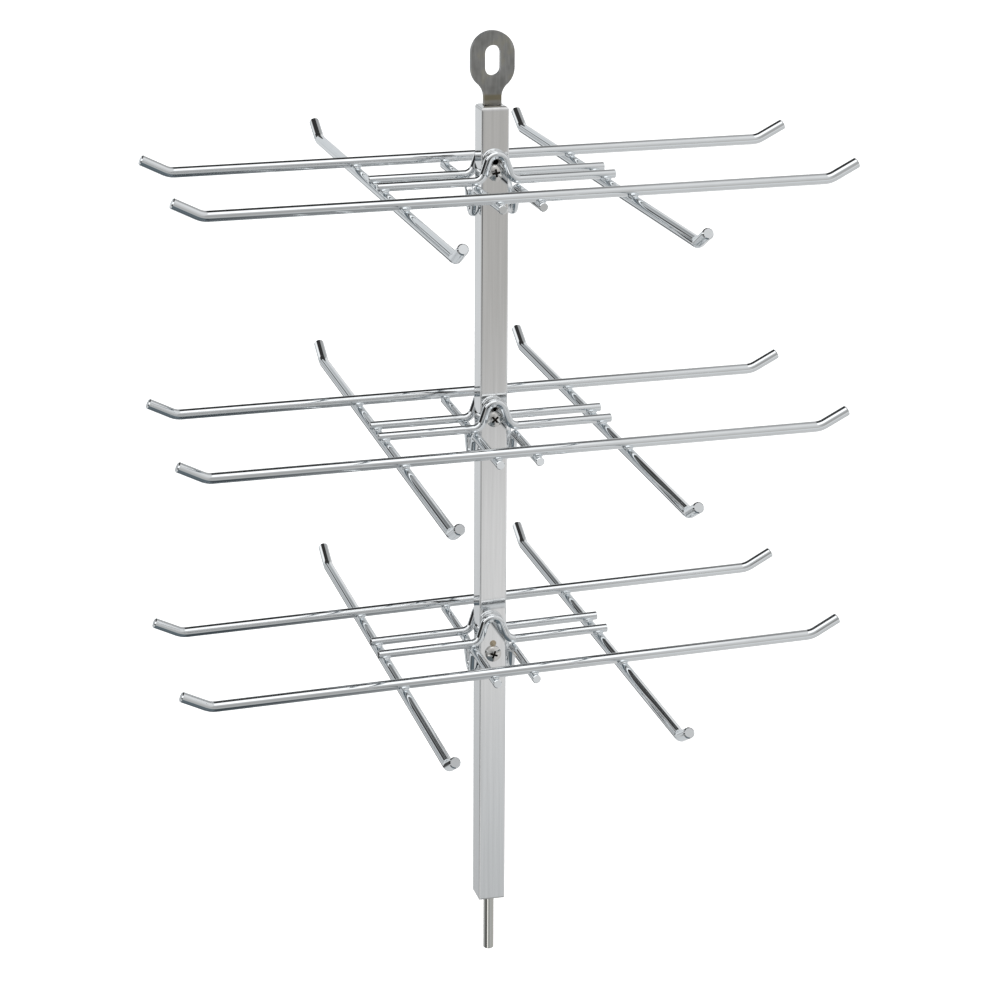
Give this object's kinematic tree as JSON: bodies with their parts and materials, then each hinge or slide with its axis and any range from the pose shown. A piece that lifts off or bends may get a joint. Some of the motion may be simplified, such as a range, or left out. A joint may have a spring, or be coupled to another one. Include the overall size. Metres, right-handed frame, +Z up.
{
  "type": "rotating display rack",
  "caption": "Hanging shop display: a square post turns below a flat slotted eye and carries loose chromed wire racks with upturned ends.",
  "frame": {"origin": "bearing point of the hook, at the top of the slot in the eye, on the post's axis", "axes": "+Z up along the post, -Y the front face with the round-headed screws, +X to the right seen from the front"},
  "size_m": [0.501, 0.4992, 0.7163],
  "materials": {
    "wire_chrome": "bright chrome plate on drawn wire",
    "post_chrome": "bright chrome plate on square tube",
    "screw_chrome": "nickel-chrome plated",
    "plain_steel": "plain zinc-plated plate and bar, satin",
    "zinc_steel": "zinc plated",
    "bronze": "turned bearing bronze",
    "nylon": "natural nylon"
  },
  "bodies": {
    "hanger": {"eye_plate": "plain_steel", "spindle": "plain_steel", "thrust_washer": "nylon", "lock_nut": "zinc_steel"},
    "post": {"post_tube": "post_chrome", "top_cap": "post_chrome", "swivel_bush": "bronze", "bottom_cap": "post_chrome", "foot_pin": "plain_steel", "upper_screw": "screw_chrome", "middle_screw": "screw_chrome", "lower_screw": "screw_chrome", "upper_sleeve_nut": "screw_chrome", "middle_sleeve_nut": "screw_chrome", "lower_sleeve_nut": "screw_chrome"},
    "upper_rack": {"upper_front_rod": "wire_chrome", "upper_rear_rod": "wire_chrome", "upper_left_rod": "wire_chrome", "upper_right_rod": "wire_chrome", "upper_front_link": "wire_chrome", "upper_rear_link": "wire_chrome", "upper_left_link": "wire_chrome", "upper_right_link": "wire_chrome"},
    "middle_rack": {"middle_front_rod": "wire_chrome", "middle_rear_rod": "wire_chrome", "middle_left_rod": "wire_chrome", "middle_right_rod": "wire_chrome", "middle_front_link": "wire_chrome", "middle_rear_link": "wire_chrome", "middle_left_link": "wire_chrome", "middle_right_link": "wire_chrome"},
    "lower_rack": {"lower_front_rod": "wire_chrome", "lower_rear_rod": "wire_chrome", "lower_left_rod": "wire_chrome", "lower_right_rod": "wire_chrome", "lower_front_link": "wire_chrome", "lower_rear_link": "wire_chrome", "lower_left_link": "wire_chrome", "lower_right_link": "wire_chrome"}
  },
  "joints": [
    {"name": "post_turn", "type": "hinge", "parent": "hanger", "child": "post", "pos_m": [0, 0, -0.0431], "axis": [0, 0, 1], "continuous": true},
    {"name": "upper_lift", "type": "slide", "parent": "post", "child": "upper_rack", "axis": [0, 0, 1], "range_m": [0, 0.04]},
    {"name": "middle_lift", "type": "slide", "parent": "post", "child": "middle_rack", "axis": [0, 0, 1], "range_m": [0, 0.12]},
    {"name": "lower_lift", "type": "slide", "parent": "post", "child": "lower_rack", "axis": [0, 0, 1], "range_m": [-0.014, 0.12]}
  ]
}
